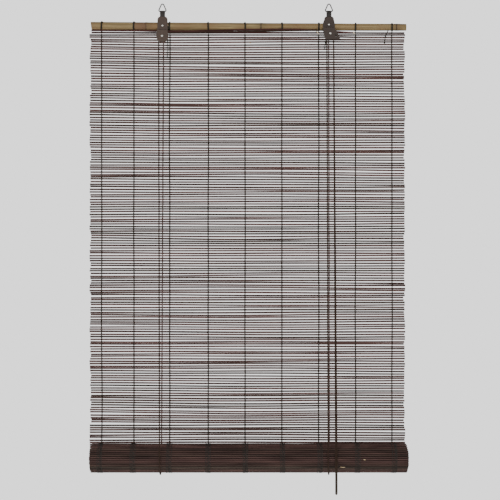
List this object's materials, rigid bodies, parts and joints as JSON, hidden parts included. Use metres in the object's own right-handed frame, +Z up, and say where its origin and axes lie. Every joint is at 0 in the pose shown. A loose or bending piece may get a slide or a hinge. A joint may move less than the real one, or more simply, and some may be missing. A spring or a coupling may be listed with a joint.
{
  "type": "bamboo roll up blind",
  "caption": "Bamboo slat blind on a cane, half rolled up on cords that run over pulleys to a cord lock.",
  "frame": {"origin": "where a wall hook bears, inside the top of the left hanger ring", "axes": "+X to the right along the cane, +Z up, the front faces -Y"},
  "size_m": [0.9039, 0.1122, 1.3862],
  "materials": {
    "cane": "natural bamboo cane, waxy",
    "slats": "bamboo stained dark brown, satin",
    "lath": "bamboo stained red-brown, satin",
    "wire": "zinc-plated wire",
    "painted_steel": "brown-grey paint, semi-gloss",
    "bright_steel": "bright nickel plate",
    "pulley_nylon": "dark nylon",
    "thread": "dark green-grey twine",
    "cord": "brown braided cord"
  },
  "bodies": {
    "head": {"bamboo_cane": "cane", "head_lath": "lath", "slat_mat": "slats", "warp_thread_1": "thread", "warp_thread_2": "thread", "warp_thread_3": "thread", "warp_thread_4": "thread", "warp_thread_5": "thread", "warp_thread_6": "thread", "warp_thread_7": "thread", "warp_thread_8": "thread", "warp_thread_9": "thread", "left_hanger_strap": "painted_steel", "right_hanger_strap": "painted_steel", "left_pulley_cover": "painted_steel", "right_lock_cover": "painted_steel", "left_axle_rivet": "bright_steel", "right_axle_rivet": "bright_steel", "left_nail": "bright_steel", "right_nail": "bright_steel", "left_cord_staple": "wire", "right_cord_staple": "wire", "left_cord_knot": "cord", "right_cord_knot": "cord", "left_back_cord": "cord", "right_back_cord": "cord", "left_front_cord": "cord", "right_front_cord": "cord", "transfer_cord": "cord", "lock_cord": "cord", "pull_cord_rear_upper": "cord", "pull_cord_front_upper": "cord", "pull_cord_rear_lower": "cord", "pull_cord_front_lower": "cord", "pull_knot": "cord"},
    "left_ring": {"left_hanger_ring": "wire"},
    "right_ring": {"right_hanger_ring": "wire"},
    "left_wheel": {"left_pulley": "pulley_nylon"},
    "right_rear_wheel": {"right_rear_pulley": "pulley_nylon"},
    "right_front_wheel": {"right_front_pulley": "pulley_nylon"},
    "roller": {"lock_roller": "bright_steel"},
    "sling": {"left_sling_cord": "cord", "right_sling_cord": "cord"},
    "roll": {"slat_roll": "slats", "bottom_lath": "lath"}
  },
  "joints": [
    {"name": "roll_lift", "type": "slide", "parent": "head", "child": "sling", "axis": [0, 0, 1], "range_m": [0, 1], "deforming": ["slat_mat", "warp_thread_1", "warp_thread_2", "warp_thread_3", "warp_thread_4", "warp_thread_5", "warp_thread_6", "warp_thread_7", "warp_thread_8", "warp_thread_9", "left_back_cord", "right_back_cord", "left_front_cord", "right_front_cord", "pull_cord_rear_upper", "pull_cord_front_upper"]},
    {"name": "roll_turn", "type": "hinge", "parent": "sling", "child": "roll", "pos_m": [0.2415, -0.0282, -1.2871], "axis": [1, 0, 0], "range_deg": [-1398, 0]},
    {"name": "left_pulley_turn", "type": "hinge", "parent": "head", "child": "left_wheel", "pos_m": [-0.0011, -0.00125, -0.0903], "axis": [0, 1, 0], "continuous": true},
    {"name": "right_rear_pulley_turn", "type": "hinge", "parent": "head", "child": "right_rear_wheel", "pos_m": [0.4771, -0.00125, -0.0838], "axis": [0, 1, 0], "continuous": true},
    {"name": "right_front_pulley_turn", "type": "hinge", "parent": "head", "child": "right_front_wheel", "pos_m": [0.4771, -0.00595, -0.0838], "axis": [0, 1, 0], "continuous": true},
    {"name": "lock_roller_slide", "type": "slide", "parent": "head", "child": "roller", "axis": [0.4226, 0, -0.9063], "range_m": [0, 0.007]},
    {"name": "left_ring_swing", "type": "hinge", "parent": "head", "child": "left_ring", "pos_m": [0, 0, -0.02028], "axis": [1, 0, 0], "range_deg": [-95, 95]},
    {"name": "right_ring_swing", "type": "hinge", "parent": "head", "child": "right_ring", "pos_m": [0.4736, 0, -0.02028], "axis": [1, 0, 0], "range_deg": [-95, 95]}
  ],
  "couplings": [
    {"joint": "roll_turn", "follows": "roll_lift", "rad_per_m": -24.39},
    {"joint": "left_pulley_turn", "follows": "roll_lift", "rad_per_m": 206.19},
    {"joint": "right_rear_pulley_turn", "follows": "roll_lift", "rad_per_m": 206.19},
    {"joint": "right_front_pulley_turn", "follows": "roll_lift", "rad_per_m": 206.19}
  ]
}
